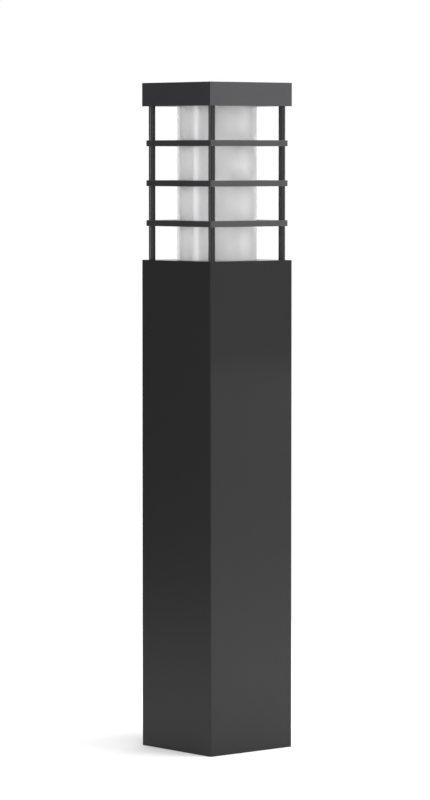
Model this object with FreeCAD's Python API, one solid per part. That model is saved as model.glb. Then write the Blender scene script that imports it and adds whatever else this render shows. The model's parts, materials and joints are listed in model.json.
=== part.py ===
import FreeCAD, Part
import math
import os

# A square garden bollard light, one metre tall, in millimetres.
#
# Seen from the ground up it is an extruded post that stands over a bolted ground flange,
# a lamp head of three open square rings on four tie rods around an opal tube, and a flat
# square cap.  The rods screw into round ports in the post's inner corners, so they hold the
# head plate, spacers, rings and carrier plate in one stack.  The cap lifts off the carrier
# plate to reach the lamp.
#
# +Z is up.  The origin is the middle of the post's foot, on the ground.  The post's faces
# look along X and Y, and the ones at +Y and -X carry the fixing screws.

# ---------------------------------------------------------------- driving dimensions
POST_WIDTH = 160.0
POST_HEIGHT = 735.0
POST_WALL = 3.0
POST_CORNER_RADIUS = 1.5
PORT_WALL = 3.5

RING_COUNT = 3
RING_GAP = 50.75
RING_THICKNESS = 9.0
RING_BAR_WIDTH = 13.0
RING_INSET = 4.5
RING_CORNER_RADIUS = 1.5
RING_EDGE_CHAMFER = 0.6

CAP_HEIGHT = 35.0
CAP_WALL = 3.0
CAP_STUD_DIAMETER = 5.0

ROD_DIAMETER = 6.0
ROD_GRIP = 60.0
ROD_END_LENGTH = 3.0
SPACER_DIAMETER = 10.0

PLATE_THICKNESS = 6.0
GROOVE_DEPTH = 3.0
GROOVE_LIP = 3.0
DIFFUSER_WALL = 3.0
DIFFUSER_SEAL_THICKNESS = 1.5

FLANGE_THICKNESS = 8.0
COLLAR_HEIGHT = 32.0
COLLAR_WALL = 8.0
ANCHOR_DIAMETER = 11.0
ANCHOR_FROM_COLLAR = 18.5
CABLE_HOLE_DIAMETER = 30.0
GROMMET_WALL = 6.0
GROMMET_RIM = 4.0
GROMMET_RIM_THICKNESS = 3.0

FOOT_SCREW_DIAMETER = 5.0
FOOT_SCREW_LENGTH = 14.0
FOOT_SCREW_HEIGHT = 25.0
FOOT_SCREW_OFFSET = 35.0

CAP_SCREW_DIAMETER = 5.0
CAP_SCREW_LENGTH = 16.0
PILLAR_ACROSS_FLATS = 8.0

REFLECTOR_THICKNESS = 1.5
REFLECTOR_RISE = 6.0
REFLECTOR_RIM = 8.0
LID_GASKET_THICKNESS = 2.5

TRAY_WIDTH = 70.0
TRAY_LENGTH = 232.0
TRAY_THICKNESS = 1.5
TRAY_FLANGE = 19.5
TRAY_BACK = 34.0
TRAY_SCREW_OFFSET = 22.0
TRAY_SCREW_DIAMETER = 5.0
TRAY_SCREW_BITE = 4.5

BOX_WIDTH = 90.0
BOX_HEIGHT = 90.0
BOX_DEPTH = 38.0
BOX_WALL = 3.0
BOX_CORNER_RADIUS = 4.0
BOX_BELOW_PLATE = 109.0
BOX_SCREW_OFFSET = 30.0
BOX_SCREW_DIAMETER = 4.0
LID_THICKNESS = 4.0
LID_SEAL_THICKNESS = 2.0
LID_SCREW_BOSS = 9.0

TERMINAL_PITCH = 11.0
TERMINAL_HEIGHT = 22.0
TERMINAL_DEPTH = 15.0
TERMINAL_BORE = 4.0
TERMINAL_SCREW_DIAMETER = 3.0
TERMINAL_BELOW_BOX_TOP = 36.0

FLEX_DIAMETER = 7.0
FLEX_TAIL = 8.0
CORE_DIAMETER = 2.4
CORE_SPREAD = 1.6
SUPPLY_BORE = 12.0
FLEX_GLAND_THREAD = 16.0
SUPPLY_GLAND_THREAD = 20.0
GLAND_COLLAR = 5.0
GLAND_NUT_LENGTH = 16.0
GLAND_SEAL_LENGTH = 9.0
GLAND_WALL = 2.0
GLAND_FLATS_MORE = 4.0

BRACKET_WIDTH = 26.0
BRACKET_LENGTH = 50.0
BRACKET_HEIGHT = 16.0
BRACKET_THICKNESS = 1.5
BRACKET_FOOT = 14.0
BRACKET_SCREW_DIAMETER = 4.0

HOLDER_BASE_DIAMETER = 44.0
HOLDER_DIAMETER = 38.0
HOLDER_BASE_THICKNESS = 6.0
HOLDER_HEIGHT = 46.0
HOLDER_FLOOR = 18.0
HOLDER_SCREW_OFFSET = 15.0
HOLDER_SCREW_DIAMETER = 3.0
HOLDER_CONTACT_RISE = 3.0
HOLDER_THREAD_START = 4.0

LAMP_DIAMETER = 60.0
LAMP_LENGTH = 115.0
LAMP_THREAD_DIAMETER = 26.4
LAMP_THREAD_DEPTH = 0.6
LAMP_THREAD_PITCH = 3.629
LAMP_THREAD_TURNS = 6
LAMP_WALL = 1.2

# ---------------------------------------------------------------- clearances
THREAD_CLEARANCE = 0.05
SCREW_CLEARANCE = 0.3
PLATE_CLEARANCE = 0.5
DIFFUSER_CLEARANCE = 2.5
GROOVE_CLEARANCE = 0.5
FLANGE_CLEARANCE = 0.5
LAMP_THREAD_CLEARANCE = 0.4
PART_CLEARANCE = 0.2

# ---------------------------------------------------------------- places that follow
inside = POST_WIDTH - 2 * POST_WALL
ring_width = POST_WIDTH - 2 * RING_INSET
ring_opening = ring_width - 2 * RING_BAR_WIDTH
rod_at = (ring_width - RING_BAR_WIDTH) / 2

diffuser_outer = ring_opening - 2 * DIFFUSER_CLEARANCE
diffuser_inner = diffuser_outer - 2 * DIFFUSER_WALL
groove_outer = diffuser_outer + 2 * GROOVE_CLEARANCE
groove_inner = diffuser_inner - 2 * GROOVE_CLEARANCE

ring_step = RING_GAP + RING_THICKNESS
carrier_bottom = POST_HEIGHT + RING_COUNT * ring_step + RING_GAP
carrier_top = carrier_bottom + PLATE_THICKNESS
cap_top = carrier_bottom + CAP_HEIGHT
cap_ceiling = cap_top - CAP_WALL
plate_bottom = POST_HEIGHT - PLATE_THICKNESS
collar_top = FLANGE_THICKNESS + COLLAR_HEIGHT

washer_thickness = 1.6
rod_nut_height = 5.0
rod_nut_flats = 10.0
carrier_opening = groove_inner - 2 * GROOVE_LIP
reflector_diameter = carrier_opening + 2 * REFLECTOR_RIM + 2
pillar_at = (reflector_diameter / 2 + rod_at * math.sqrt(2)) / 2 / math.sqrt(2)

box_top = plate_bottom - BOX_BELOW_PLATE
box_bottom = box_top - BOX_HEIGHT
gland_y = TRAY_BACK - BOX_DEPTH / 2

holder_bottom = POST_HEIGHT + BRACKET_HEIGHT
holder_top = holder_bottom + HOLDER_HEIGHT
socket_floor = holder_bottom + HOLDER_FLOOR
lamp_bottom = socket_floor + HOLDER_CONTACT_RISE

X = FreeCAD.Vector(1, 0, 0)
Y = FreeCAD.Vector(0, 1, 0)
Z = FreeCAD.Vector(0, 0, 1)
ORIGIN = FreeCAD.Vector(0, 0, 0)
nodes = {}


# ---------------------------------------------------------------- helpers
def keep(name, *solids):
    """Store one node; several solids make a group of separate pieces."""
    nodes[name] = solids[0] if len(solids) == 1 else Part.makeCompound(list(solids))


def rod(diameter, z0, z1, x=0.0, y=0.0):
    """Upright cylinder."""
    return Part.makeCylinder(diameter / 2, z1 - z0, FreeCAD.Vector(x, y, z0))


def pipe(outer, inner, z0, z1, x=0.0, y=0.0):
    """Upright tube."""
    return rod(outer, z0, z1, x, y).cut(rod(inner, z0, z1, x, y))


def block(x0, x1, y0, y1, z0, z1):
    """Box between two corners."""
    return Part.makeBox(x1 - x0, y1 - y0, z1 - z0, FreeCAD.Vector(x0, y0, z0))


def square(width, z0, z1, corner=0.0):
    """Square prism centred on the axis, its upright edges rounded."""
    half = width / 2
    solid = block(-half, half, -half, half, z0, z1)
    if corner:
        upright = [e for e in solid.Edges if abs(e.Vertexes[0].Z - e.Vertexes[1].Z) > 1e-6]
        solid = solid.makeFillet(corner, upright)
    return solid


def hexagon(flats, z0, z1, x=0.0, y=0.0):
    """Hexagonal prism."""
    radius = flats / math.sqrt(3)
    corners = []
    for i in range(7):
        turn = math.radians(60 * i)
        corners.append(FreeCAD.Vector(x + radius * math.cos(turn), y + radius * math.sin(turn), z0))
    return Part.Face(Part.makePolygon(corners)).extrude(Z * (z1 - z0))


def turned(outline):
    """Solid of revolution about Z, from (radius, height) points."""
    points = [FreeCAD.Vector(r, 0, z) for r, z in outline]
    return Part.Face(Part.makePolygon(points + points[:1])).revolve(ORIGIN, Z, 360)


def strip(outline, y0, y1):
    """Bent strip: a closed (x, z) outline, as wide as y0 to y1."""
    points = [FreeCAD.Vector(x, y0, z) for x, z in outline]
    return Part.Face(Part.makePolygon(points + points[:1])).extrude(Y * (y1 - y0))


def joined(first, *others):
    """Pieces melted into one solid, with no seams left on flat faces."""
    return first.fuse(list(others)).removeSplitter()


def four(half):
    """The four corners of a square, as (x, y)."""
    return [(sx * half, sy * half) for sx in (-1, 1) for sy in (-1, 1)]


def placed(shape, point, axis=None, degrees=0.0):
    """A copy turned about the origin and then moved to a point."""
    copy = shape.copy()
    if axis is not None:
        copy.rotate(ORIGIN, axis, degrees)
    copy.translate(point)
    return copy


def flat_screw(diameter, length):
    """Countersunk socket screw, its flat head at z = 0, pointing down."""
    head = diameter * 0.92
    depth = head - diameter / 2
    body = turned([(0, 0), (head, 0), (diameter / 2, -depth), (diameter / 2, -length), (0, -length)])
    socket = hexagon(diameter * 0.6, -depth, 0)
    return body.cut(socket)


def countersink(diameter, length):
    """The hole for a flat screw, its mouth at z = 0."""
    head = diameter * 0.92
    depth = head - diameter / 2
    wide = diameter / 2 + SCREW_CLEARANCE
    rim = [(0, 1), (head + 1, 1), (head, 0), (wide, wide - head), (wide, -length), (0, -length)]
    return turned(rim) if depth > SCREW_CLEARANCE else rod(2 * wide, -length, 1)


def pan_screw(diameter, length):
    """Pan head screw, the underside of its head at z = 0, pointing down."""
    head = rod(diameter * 1.9, 0, diameter * 0.65)
    head = head.makeChamfer(diameter * 0.2, [head.Edges[0]])
    slot_half = diameter * 0.11
    slot = block(-diameter, diameter, -slot_half, slot_half, diameter * 0.35, diameter)
    return joined(head, rod(diameter, -length, 0)).cut(slot)


def s_bend(diameter, start, straight, rise, offset, end_straight):
    """Round cable going straight up, across by an S of two equal arcs, and up again.

    Returns the solid, its length and the radius of its arcs.
    """
    across = offset.Length
    side = FreeCAD.Vector(offset).normalize()
    radius = (rise * rise + across * across) / (4 * across)
    turn = 2 * math.atan(across / rise)

    def point(sideways, up):
        return start + side * sideways + Z * up

    def first(angle):
        return point(radius * (1 - math.cos(angle)), straight + radius * math.sin(angle))

    def second(angle):
        low = across - radius * (1 - math.cos(angle))
        return point(low, straight + rise - radius * math.sin(angle))

    top = point(across, straight + rise)
    edges = [
        Part.LineSegment(start, first(0)).toShape(),
        Part.Arc(first(0), first(turn / 2), first(turn)).toShape(),
        Part.Arc(second(turn), second(turn / 2), second(0)).toShape(),
        Part.LineSegment(top, top + Z * end_straight).toShape(),
    ]
    path = Part.Wire(edges)
    section = Part.Wire(Part.makeCircle(diameter / 2, start, Z))
    solid = path.makePipeShell([section], True, False)
    return solid, path.Length, radius


# ---------------------------------------------------------------- post and foot
def port(x, y, z0, z1):
    """Round screw port in the post's inner corner, with its web to both walls."""
    reach = inside / 2
    radius = ROD_DIAMETER / 2 + PORT_WALL
    xs = sorted((x, math.copysign(reach, x)))
    ys = sorted((y, math.copysign(reach, y)))
    return joined(rod(2 * radius, z0, z1, x, y), block(*xs, *ys, z0, z1))


def foot_screw_places():
    """Each foot screw's head: a point on the post's face, and how it is turned from +Z."""
    half = POST_WIDTH / 2
    places = []
    for side in (-FOOT_SCREW_OFFSET, FOOT_SCREW_OFFSET):
        places.append((FreeCAD.Vector(side, half, FOOT_SCREW_HEIGHT), X, -90))
        places.append((FreeCAD.Vector(-half, side, FOOT_SCREW_HEIGHT), Y, -90))
    return places


def make_post():
    walls = square(POST_WIDTH, 0, POST_HEIGHT, POST_CORNER_RADIUS).cut(square(inside, 0, POST_HEIGHT))
    ports = [port(x, y, collar_top + PLATE_CLEARANCE, plate_bottom) for x, y in four(rod_at)]
    post = joined(walls, *ports)
    bore = ROD_DIAMETER + 2 * THREAD_CLEARANCE
    post = post.cut([rod(bore, 0, POST_HEIGHT, x, y) for x, y in four(rod_at)])
    sink = countersink(FOOT_SCREW_DIAMETER, 2 * POST_WALL)
    keep("post_tube", post.cut([placed(sink, *place) for place in foot_screw_places()]))


def make_foot():
    plate_width = inside - 2 * FLANGE_CLEARANCE
    collar_inside = plate_width - 2 * COLLAR_WALL
    plate = square(plate_width, 0, collar_top).cut(square(collar_inside, FLANGE_THICKNESS, collar_top))
    anchor_at = collar_inside / 2 - ANCHOR_FROM_COLLAR
    holes = [rod(ANCHOR_DIAMETER, 0, FLANGE_THICKNESS, x, y) for x, y in four(anchor_at)]
    holes.append(rod(CABLE_HOLE_DIAMETER, 0, FLANGE_THICKNESS))
    shank = rod(FOOT_SCREW_DIAMETER + 2 * THREAD_CLEARANCE, -POST_WIDTH / 4, 0)
    holes += [placed(shank, *place) for place in foot_screw_places()]
    keep("ground_flange", plate.cut(holes))

    screw = flat_screw(FOOT_SCREW_DIAMETER, FOOT_SCREW_LENGTH)
    keep("post_screws", *[placed(screw, *place) for place in foot_screw_places()])

    neck = CABLE_HOLE_DIAMETER / 2 - PART_CLEARANCE
    bore = CABLE_HOLE_DIAMETER / 2 - GROMMET_WALL
    rim = CABLE_HOLE_DIAMETER / 2 + GROMMET_RIM
    top = FLANGE_THICKNESS + GROMMET_RIM_THICKNESS
    grommet = [(bore, 0.5), (neck, 0.5), (neck, FLANGE_THICKNESS), (rim, FLANGE_THICKNESS), (rim - 1, top)]
    keep("cable_grommet", turned(grommet + [(bore, top)]))


# ---------------------------------------------------------------- lamp head
def diffuser_groove(z0, z1):
    return pipe(groove_outer, groove_inner, z0, z1)


def make_plates():
    """The head plate inside the post's mouth and the carrier plate inside the cap."""
    hole = ROD_DIAMETER + 2 * SCREW_CLEARANCE
    head = square(inside - PLATE_CLEARANCE, plate_bottom, POST_HEIGHT)
    cuts = [rod(hole, plate_bottom, POST_HEIGHT, x, y) for x, y in four(rod_at)]
    cuts.append(diffuser_groove(POST_HEIGHT - GROOVE_DEPTH, POST_HEIGHT))
    cuts.append(rod(FLEX_GLAND_THREAD + 2 * THREAD_CLEARANCE, plate_bottom, POST_HEIGHT))
    bite = TRAY_SCREW_DIAMETER + 2 * THREAD_CLEARANCE
    depth = plate_bottom + TRAY_SCREW_BITE
    cuts += [rod(bite, plate_bottom, depth, x, y) for x, y in tray_screw_places()]
    bite = BRACKET_SCREW_DIAMETER + 2 * THREAD_CLEARANCE
    cuts += [rod(bite, plate_bottom, POST_HEIGHT, x, 0) for x in bracket_screw_places()]
    keep("head_plate", head.cut(cuts))

    carrier = square(POST_WIDTH - 2 * CAP_WALL - 2 * PLATE_CLEARANCE, carrier_bottom, carrier_top)
    cuts = [rod(hole, carrier_bottom, carrier_top, x, y) for x, y in four(rod_at)]
    cuts.append(diffuser_groove(carrier_bottom, carrier_bottom + GROOVE_DEPTH))
    cuts.append(rod(carrier_opening, carrier_bottom, carrier_top))
    keep("carrier_plate", carrier.cut(cuts))


def make_diffuser():
    seal_bottom = POST_HEIGHT - GROOVE_DEPTH
    seal_top = carrier_bottom + GROOVE_DEPTH
    low = seal_bottom + DIFFUSER_SEAL_THICKNESS
    high = seal_top - DIFFUSER_SEAL_THICKNESS
    outer = groove_outer - 2 * PART_CLEARANCE
    inner = groove_inner + 2 * PART_CLEARANCE
    keep("lower_diffuser_seal", pipe(outer, inner, seal_bottom, low))
    keep("upper_diffuser_seal", pipe(outer, inner, high, seal_top))
    keep("diffuser", pipe(diffuser_outer, diffuser_inner, low, high))


def make_ring(name, z0):
    """Open square frame of flat bar with softened edges and a hole over each tie rod."""
    bar = square(ring_width, z0, z0 + RING_THICKNESS, RING_CORNER_RADIUS)
    level = [e for e in bar.Edges if abs(e.BoundBox.ZMin - e.BoundBox.ZMax) < 1e-6]
    bar = bar.makeChamfer(RING_EDGE_CHAMFER, level)
    cuts = [square(ring_opening, z0, z0 + RING_THICKNESS)]
    hole = ROD_DIAMETER + 2 * SCREW_CLEARANCE
    cuts += [rod(hole, z0, z0 + RING_THICKNESS, x, y) for x, y in four(rod_at)]
    keep(name, bar.cut(cuts))


def make_stack():
    """Rings and spacer tubes, threaded on the four tie rods."""
    names = {1: ["ring"], 2: ["lower_ring", "upper_ring"], 3: ["lower_ring", "middle_ring", "upper_ring"]}
    ring_names = names.get(RING_COUNT) or ["ring_%d" % (i + 1) for i in range(RING_COUNT)]
    bore = ROD_DIAMETER + 2 * SCREW_CLEARANCE
    z = POST_HEIGHT
    for level in range(RING_COUNT + 1):
        tubes = [pipe(SPACER_DIAMETER, bore, z, z + RING_GAP, x, y) for x, y in four(rod_at)]
        keep("spacer_tubes_%d" % (level + 1), *tubes)
        z += RING_GAP
        if level < RING_COUNT:
            make_ring(ring_names[level], z)
            z += RING_THICKNESS

    nut_bottom = carrier_top + washer_thickness
    nut_top = nut_bottom + rod_nut_height
    rods, washers, nuts = [], [], []
    for x, y in four(rod_at):
        rods.append(rod(ROD_DIAMETER, plate_bottom - ROD_GRIP, nut_top + ROD_END_LENGTH, x, y))
        washers.append(pipe(2 * ROD_DIAMETER, bore, carrier_top, nut_bottom, x, y))
        thread = rod(ROD_DIAMETER + 2 * THREAD_CLEARANCE, nut_bottom, nut_top, x, y)
        nuts.append(hexagon(rod_nut_flats, nut_bottom, nut_top, x, y).cut(thread))
    keep("tie_rods", *rods)
    keep("rod_washers", *washers)
    keep("rod_nuts", *nuts)


def make_cap():
    shell = square(POST_WIDTH, carrier_bottom, cap_top, POST_CORNER_RADIUS)
    shell = shell.cut(square(POST_WIDTH - 2 * CAP_WALL, carrier_bottom, cap_ceiling))
    sink = countersink(CAP_SCREW_DIAMETER, 2 * CAP_WALL)
    screw = flat_screw(CAP_SCREW_DIAMETER, CAP_SCREW_LENGTH)
    places = [FreeCAD.Vector(x, y, cap_top) for x, y in four(pillar_at)]
    keep("cap_shell", shell.cut([placed(sink, place) for place in places]))
    keep("cap_screws", *[placed(screw, place) for place in places])

    bore = CAP_SCREW_DIAMETER + 2 * THREAD_CLEARANCE
    bore_bottom = cap_top - CAP_SCREW_LENGTH - 2
    pillars = []
    for x, y in four(pillar_at):
        pillar = hexagon(PILLAR_ACROSS_FLATS, carrier_top, cap_ceiling, x, y)
        pillars.append(pillar.cut(rod(bore, bore_bottom, cap_ceiling, x, y)))
    keep("cap_pillars", *pillars)


def make_reflector():
    """White pan under the cap that closes the diffuser on a foam ring."""
    gasket_top = carrier_top + LID_GASKET_THICKNESS
    outer = reflector_diameter / 2
    inner = outer - REFLECTOR_RIM
    keep("lid_gasket", pipe(2 * outer, 2 * inner, carrier_top, gasket_top))

    low = gasket_top
    high = low + REFLECTOR_RISE
    t = REFLECTOR_THICKNESS
    hole = CAP_STUD_DIAMETER / 2 + SCREW_CLEARANCE
    slope = REFLECTOR_RISE
    under = [(hole, high), (inner - slope, high), (inner, low), (outer, low)]
    over = [(outer, low + t), (inner + t / 2, low + t), (inner + t / 2 - slope, high + t), (hole, high + t)]
    keep("reflector", turned(under + over))

    nut_height = 4.0
    stud_bottom = high - nut_height - 1.5
    keep("cap_stud", rod(CAP_STUD_DIAMETER, stud_bottom, cap_ceiling))
    thread = rod(CAP_STUD_DIAMETER + 2 * THREAD_CLEARANCE, high - nut_height, high)
    keep("reflector_nut", hexagon(CAP_STUD_DIAMETER * 1.6, high - nut_height, high).cut(thread))


# ---------------------------------------------------------------- lampholder and lamp
def bracket_screw_places():
    reach = (BRACKET_LENGTH + BRACKET_FOOT) / 2
    return [-reach, reach]


def make_lampholder():
    t = BRACKET_THICKNESS
    base = POST_HEIGHT
    top = holder_bottom
    leg = BRACKET_LENGTH / 2
    foot = leg + BRACKET_FOOT
    half = BRACKET_WIDTH / 2
    outline = [(-foot, base), (-leg, base), (-leg, top - t), (leg, top - t), (leg, base), (foot, base)]
    outline += [(foot, base + t), (leg + t, base + t), (leg + t, top), (-leg - t, top), (-leg - t, base + t)]
    outline += [(-foot, base + t)]
    cuts = [rod(FLEX_DIAMETER + 2 * SCREW_CLEARANCE, base, top + 1)]
    hole = BRACKET_SCREW_DIAMETER + 2 * SCREW_CLEARANCE
    cuts += [rod(hole, base, base + 2 * t, x, 0) for x in bracket_screw_places()]
    hole = HOLDER_SCREW_DIAMETER + 2 * SCREW_CLEARANCE
    cuts += [rod(hole, top - t, top, x, 0) for x in (-HOLDER_SCREW_OFFSET, HOLDER_SCREW_OFFSET)]
    keep("lampholder_bracket", strip(outline, -half, half).cut(cuts))
    screw = pan_screw(BRACKET_SCREW_DIAMETER, PLATE_THICKNESS)
    places = [FreeCAD.Vector(x, 0, base + t) for x in bracket_screw_places()]
    keep("bracket_screws", *[placed(screw, place) for place in places])

    shell_inner = LAMP_THREAD_DIAMETER / 2 + LAMP_THREAD_CLEARANCE
    shell_outer = shell_inner + LAMP_THREAD_DEPTH + 0.5
    socket = shell_outer + PART_CLEARANCE
    flare = HOLDER_BASE_DIAMETER / 2
    barrel = HOLDER_DIAMETER / 2
    ledge = holder_bottom + HOLDER_BASE_THICKNESS
    rim = holder_top - 2
    outline = [(0, holder_bottom), (flare, holder_bottom), (flare, ledge), (barrel, ledge), (barrel, rim)]
    outline += [(barrel - 2, holder_top), (socket, holder_top), (socket, socket_floor), (0, socket_floor)]
    cuts = [rod(FLEX_DIAMETER + 2 * SCREW_CLEARANCE, holder_bottom, holder_bottom + FLEX_TAIL)]
    bite = HOLDER_SCREW_DIAMETER + 2 * THREAD_CLEARANCE
    for x in (-HOLDER_SCREW_OFFSET, HOLDER_SCREW_OFFSET):
        cuts.append(rod(bite, holder_bottom, ledge, x, 0))
    keep("lampholder_body", turned(outline).cut(cuts))

    length = HOLDER_BASE_THICKNESS + t - 1
    screw = placed(pan_screw(HOLDER_SCREW_DIAMETER, length), ORIGIN, X, 180)
    places = [FreeCAD.Vector(x, 0, top - t) for x in (-HOLDER_SCREW_OFFSET, HOLDER_SCREW_OFFSET)]
    keep("lampholder_screws", *[placed(screw, place) for place in places])

    thread_low = socket_floor + HOLDER_THREAD_START
    inner = thread_profile(shell_inner + LAMP_THREAD_DEPTH, thread_low, LAMP_THREAD_TURNS)
    thread_high = inner[-1][1]
    keep("lampholder_shell", turned(inner + [(shell_outer, thread_high), (shell_outer, thread_low)]))

    tongue = 0.6
    low = socket_floor
    high = lamp_bottom
    outline = [(-9, low), (-4, low), (2, high - tongue), (6, high - tongue), (6, high), (1.7, high)]
    outline += [(-4.3, low + tongue), (-9, low + tongue)]
    keep("lampholder_contact", strip(outline, -3, 3))


def thread_profile(crest, z0, turns):
    """A rounded screw thread drawn as rings: its (radius, height) points, going up."""
    points = []
    steps = 6
    for i in range(turns * steps + 1):
        wave = 0.5 - 0.5 * math.cos(2 * math.pi * i / steps)
        points.append((crest - LAMP_THREAD_DEPTH * wave, z0 + LAMP_THREAD_PITCH * i / steps))
    return points


def make_lamp():
    """Screw-in LED lamp: contact, insulator, screw shell, housing with its boards, and globe."""
    button = 1.5
    collar = 4.0
    thread_low = lamp_bottom + button + collar
    keep("lamp_contact", rod(9, lamp_bottom, lamp_bottom + button))

    crest = LAMP_THREAD_DIAMETER / 2
    root = crest - LAMP_THREAD_DEPTH
    wall = 0.5
    outline = [(0, lamp_bottom + button), (5.5, lamp_bottom + button), (root - wall, thread_low)]
    keep("lamp_insulator", turned(outline + [(0, thread_low)]))

    thread = thread_profile(crest, thread_low + 1, LAMP_THREAD_TURNS)
    shell_top = thread[-1][1] + 1
    inside_wall = root - wall
    outline = [(crest, thread_low)] + thread + [(crest, shell_top), (inside_wall, shell_top)]
    keep("lamp_screw_shell", turned(outline + [(inside_wall, thread_low)]))

    globe_radius = LAMP_DIAMETER / 2
    lamp_top = lamp_bottom + LAMP_LENGTH
    globe_centre = lamp_top - globe_radius
    seam = globe_centre - globe_radius / 3
    neck = crest + 0.8
    w = LAMP_WALL
    seat = globe_radius - 2 * w
    outline = [(neck - w, shell_top), (neck, shell_top), (neck + 2, shell_top + 8), (globe_radius - 2, seam)]
    outline += [(seat - 2, seam), (seat - 2, seam - w), (neck + 2 - w, shell_top + 8 + w), (neck - w, shell_top + 4)]
    keep("lamp_housing", turned(outline))
    board_radius = seat - 0.7
    keep("lamp_board", led_board(board_radius, seam))

    driver_low = shell_top + 2
    driver_high = seam
    half = inside_wall - 1.5
    board = block(-half, half, -0.8, 0.8, driver_low - 12, driver_high)
    coil = block(-half / 2, half / 2, 0.8, half * 0.8, driver_low - 4, driver_low + 8)
    capacitor = block(-half / 2, half / 2, -half * 0.8, -0.8, driver_low - 10, driver_low + 6)
    keep("lamp_driver", joined(board, coil, capacitor))

    start = FreeCAD.Vector(globe_radius - 2, 0, seam)
    edges = globe_outline(globe_radius, w, globe_centre, start.z)
    keep("lamp_globe", Part.Face(Part.Wire(edges)).revolve(ORIGIN, Z, 360))


def led_board(radius, seam):
    """Aluminium disc with a ring of small light sources."""
    count = 8
    disc = rod(2 * radius, seam, seam + 1.5)
    chips = []
    for i in range(count):
        chip = block(radius * 0.6 - 1.5, radius * 0.6 + 1.5, -1.5, 1.5, seam + 1.5, seam + 2.3)
        chips.append(placed(chip, ORIGIN, Z, 360 * i / count))
    return joined(disc, *chips)


def globe_outline(radius, wall, centre, seam):
    """Half section of the hollow globe: two arcs about one centre, closed by two short lines."""
    inner = radius - wall
    drop = centre - seam

    def on(r, height):
        return FreeCAD.Vector(math.sqrt(r * r - height * height), 0, centre + height)

    outer_low = on(radius, -drop)
    inner_low = on(inner, -drop)
    outer_top = FreeCAD.Vector(0, 0, centre + radius)
    inner_top = FreeCAD.Vector(0, 0, centre + inner)
    return [
        Part.Arc(outer_low, on(radius, radius / 3), outer_top).toShape(),
        Part.LineSegment(outer_top, inner_top).toShape(),
        Part.Arc(inner_top, on(inner, inner / 3), inner_low).toShape(),
        Part.LineSegment(inner_low, outer_low).toShape(),
    ]


# ---------------------------------------------------------------- wiring inside the post
def tray_screw_places():
    y = TRAY_BACK + TRAY_THICKNESS - TRAY_FLANGE / 2
    return [(-TRAY_SCREW_OFFSET, y), (TRAY_SCREW_OFFSET, y)]


def make_tray():
    """Steel strip that hangs from the head plate and carries the junction box."""
    half = TRAY_WIDTH / 2
    back = TRAY_BACK + TRAY_THICKNESS
    front = back - TRAY_FLANGE
    upright = block(-half, half, TRAY_BACK, back, plate_bottom - TRAY_LENGTH, plate_bottom)
    flange = block(-half, half, front, back, plate_bottom - TRAY_THICKNESS, plate_bottom)
    hole = TRAY_SCREW_DIAMETER + 2 * SCREW_CLEARANCE
    cuts = [rod(hole, plate_bottom - TRAY_THICKNESS, plate_bottom, x, y) for x, y in tray_screw_places()]
    through = placed(rod(BOX_SCREW_DIAMETER + 2 * SCREW_CLEARANCE, -BOX_DEPTH, BOX_DEPTH), ORIGIN, X, 90)
    cuts += [placed(through, place) for place in box_screw_places(TRAY_BACK)]
    keep("gear_tray", joined(upright, flange).cut(cuts))

    screw = placed(pan_screw(TRAY_SCREW_DIAMETER, TRAY_THICKNESS + TRAY_SCREW_BITE - 0.5), ORIGIN, X, 180)
    height = plate_bottom - TRAY_THICKNESS
    keep("tray_screws", *[placed(screw, FreeCAD.Vector(x, y, height)) for x, y in tray_screw_places()])


def box_screw_places(y):
    z = (box_top + box_bottom) / 2
    return [FreeCAD.Vector(x, y, z) for x in (-BOX_SCREW_OFFSET, BOX_SCREW_OFFSET)]


def box_prism(inset, y0, y1):
    """Rounded block in the junction box's outline, from y0 to y1."""
    half = BOX_WIDTH / 2 - inset
    solid = block(-half, half, y0, y1, box_bottom + inset, box_top - inset)
    edges = [e for e in solid.Edges if abs(e.Vertexes[0].Y - e.Vertexes[1].Y) > 1e-6]
    return solid.makeFillet(BOX_CORNER_RADIUS, edges)


def lid_screw_places(y):
    inset = LID_SCREW_BOSS / 2
    half = BOX_WIDTH / 2 - inset
    return [FreeCAD.Vector(x, y, z) for x in (-half, half) for z in (box_bottom + inset, box_top - inset)]


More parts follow.
